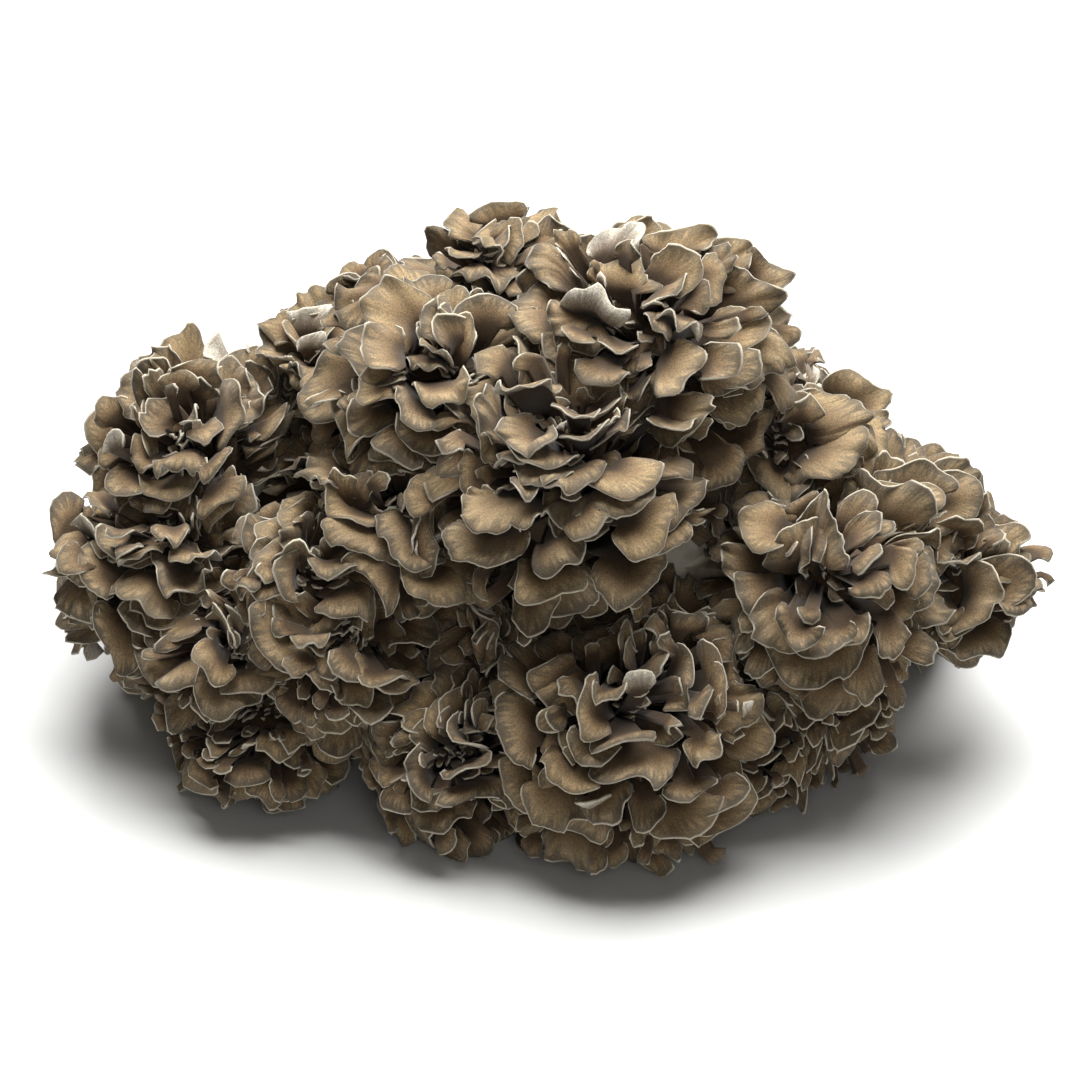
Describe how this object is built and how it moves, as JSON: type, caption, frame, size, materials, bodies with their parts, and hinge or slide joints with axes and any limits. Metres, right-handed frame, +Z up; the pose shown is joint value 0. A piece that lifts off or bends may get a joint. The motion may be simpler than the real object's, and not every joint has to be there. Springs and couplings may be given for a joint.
{
  "type": "maitake mushroom",
  "caption": "Large maitake mushroom clump: crowded rosettes of ruffled fan-shaped fronds on a branching fleshy stem, cut flat underneath so that it stands.",
  "frame": {"origin": "centre of the flat cut face under the stem, which the mushroom rests on", "axes": "+Z up; +X along the clump's longest side, to the right of a viewer at its front; -Y towards that viewer"},
  "size_m": [0.4085, 0.3007, 0.2235],
  "materials": {
    "cap": null,
    "flesh": null
  },
  "bodies": {
    "root": {"stem": "flesh", "crown_back": "cap", "crown_right": "cap", "crown_left": "cap", "crown_front": "cap", "crown_skirt": "cap", "left_upper": "cap", "left_outer": "cap", "left_front": "cap", "left_lower": "cap", "bottom_upper": "cap", "left_shoulder": "cap", "left_back": "cap", "foot_left": "cap", "bottom_front": "cap", "bottom_left": "cap", "bottom_right": "cap", "right_front": "cap", "right_top": "cap", "right_upper": "cap", "right_rear": "cap", "right_outer": "cap", "right_lower": "cap", "back_upper": "cap", "back_left": "cap", "back_right": "cap", "side_left": "cap", "back_lower": "cap", "back_foot": "cap", "side_right": "cap", "foot_side": "cap"}
  },
  "joints": []
}
